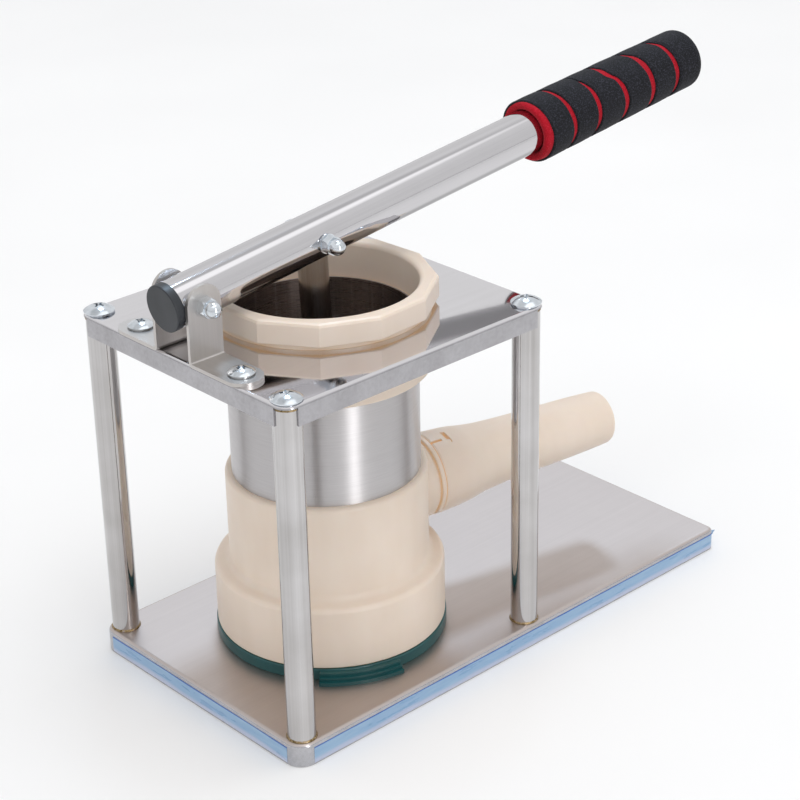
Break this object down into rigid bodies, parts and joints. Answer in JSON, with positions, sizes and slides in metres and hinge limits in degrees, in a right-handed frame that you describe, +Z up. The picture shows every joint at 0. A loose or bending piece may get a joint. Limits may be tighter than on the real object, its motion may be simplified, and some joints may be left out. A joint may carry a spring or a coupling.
{
  "type": "vertical sausage stuffer",
  "caption": "Hand-levered vertical sausage stuffer: steel barrel with piston and rod in a folded steel frame, a side filling nozzle and a long lever with foam grip.",
  "frame": {"origin": "on the supporting surface, under the axis of the steel cylinder", "axes": "+X towards the nozzle and along the lever's grip, -Y towards the front, +Z up along the cylinder"},
  "size_m": [0.4115, 0.1792, 0.309],
  "materials": {
    "base_steel": "brushed stainless sheet, blurred reflections",
    "mirror_steel": "near-mirror stainless sheet",
    "post_steel": "polished stainless tube with fine lengthwise streaks",
    "lever_steel": "mirror-polished stainless tube",
    "barrel_steel": "fine lengthwise brushed stainless",
    "bracket_steel": "satin stainless sheet",
    "plain_steel": "plain turned steel",
    "zinc": "bright zinc plating",
    "weld_tint": "heat-tinted weld",
    "cream_plastic": "moulded cream plastic, satin",
    "green_plastic": "moulded dark green plastic",
    "black_plastic": "moulded black plastic, fine grain",
    "black_foam": "fine closed-cell foam, dull",
    "red_foam": "fine closed-cell foam, dull",
    "seal_rubber": "smooth rubber",
    "blue_film": "pale blue protective film, slightly wrinkled"
  },
  "bodies": {
    "frame": {"base_plate": "base_steel", "edge_film": "blue_film", "posts": "post_steel", "post_inserts": "plain_steel", "post_weld_beads": "weld_tint", "top_plate": "mirror_steel", "corner_screws": "zinc", "bracket_front": "bracket_steel", "bracket_rear": "bracket_steel", "bracket_screws": "zinc", "bracket_nuts": "zinc", "pivot_bolt": "zinc", "pivot_nut": "zinc", "cylinder_tube": "barrel_steel", "under_collar": "cream_plastic", "collar_gasket": "seal_rubber", "base_cap": "green_plastic", "base_cap_screw": "zinc", "tee_lower_seal": "seal_rubber"},
    "lever": {"lever_tube": "lever_steel", "lever_end_cap": "black_plastic", "grip_inner_foam": "red_foam", "grip_outer_foam": "black_foam", "plunger_bolt": "zinc", "plunger_nut": "zinc", "plunger_washers": "zinc", "plunger_spacers": "plain_steel"},
    "rod": {"plunger_rod": "plain_steel", "rod_lower_pin": "plain_steel"},
    "piston": {"piston_clevis": "plain_steel", "piston_disc": "cream_plastic", "piston_seal": "seal_rubber", "piston_screw": "zinc"},
    "ring_nut": {"ring_nut": "cream_plastic"},
    "tee": {"tee_body": "cream_plastic", "tee_upper_seal": "seal_rubber"},
    "nozzle": {"nozzle": "cream_plastic"}
  },
  "joints": [
    {"name": "lever_pivot", "type": "hinge", "parent": "frame", "child": "lever", "pos_m": [-0.091, 0, 0.2462], "axis": [0, -1, 0], "range_deg": [-6.4, 40]},
    {"name": "rod_pin", "type": "hinge", "parent": "lever", "child": "rod", "pos_m": [-0.00505, 0, 0.25595], "axis": [0, -1, 0], "range_deg": [-28.6, 5]},
    {"name": "piston_slide", "type": "slide", "parent": "frame", "child": "piston", "axis": [0, 0, 1], "range_m": [-0.0096, 0.058]},
    {"name": "ring_nut_turn", "type": "hinge", "parent": "frame", "child": "ring_nut", "pos_m": [0, 0, 0.2242], "axis": [0, 0, 1], "range_deg": [0, 540]},
    {"name": "tee_swivel", "type": "hinge", "parent": "frame", "child": "tee", "pos_m": [0, 0, 0.0891], "axis": [0, 0, 1], "range_deg": [-18, 36]},
    {"name": "nozzle_turn", "type": "hinge", "parent": "tee", "child": "nozzle", "pos_m": [0.07823, -0.01297, 0.0891], "axis": [0.9865, -0.1635, 0], "range_deg": [0, 15.5]}
  ],
  "couplings": [
    {"joint": "rod_pin", "follows": "lever_pivot", "ratio": -0.701},
    {"joint": "piston_slide", "follows": "lever_pivot", "m_per_rad": 0.08249}
  ]
}
